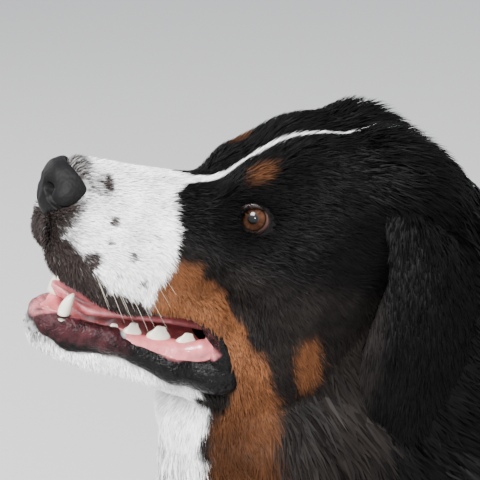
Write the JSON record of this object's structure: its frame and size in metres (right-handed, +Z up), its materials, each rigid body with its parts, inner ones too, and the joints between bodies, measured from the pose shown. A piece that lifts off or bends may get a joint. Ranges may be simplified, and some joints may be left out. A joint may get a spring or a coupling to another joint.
{
  "type": "bernese mountain dog",
  "caption": "Life-size standing mountain dog with a long tricolour coat, raised head, hanging ears, open mouth and low bushy tail.",
  "frame": {"origin": "on the floor, below the centre of the dog's bounding box", "axes": "+Z up; the dog faces -Y, its left side is +X"},
  "size_m": [0.3284, 1.1735, 0.8526],
  "materials": {
    "coat": "long black coat with rust and white markings, soft sheen",
    "skin": "dark bare skin of lids, lips and pads, slightly moist",
    "nose_leather": "pebbled dark grey, moist",
    "tongue": "wet pink flesh",
    "eye": "glossy brown iris with a dark pupil",
    "tooth": "ivory, wet",
    "claw": "dark horn, satin"
  },
  "bodies": {
    "root": {"head": "coat", "lower_jaw": "coat", "neck": "coat", "torso": "coat", "tail": "coat", "nose": "nose_leather", "tongue": "tongue", "ear_left": "coat", "ear_right": "coat", "eye_left": "eye", "eye_right": "eye", "foreleg_left": "coat", "foreleg_right": "coat", "hind_leg_left": "coat", "hind_leg_right": "coat"}
  },
  "joints": []
}
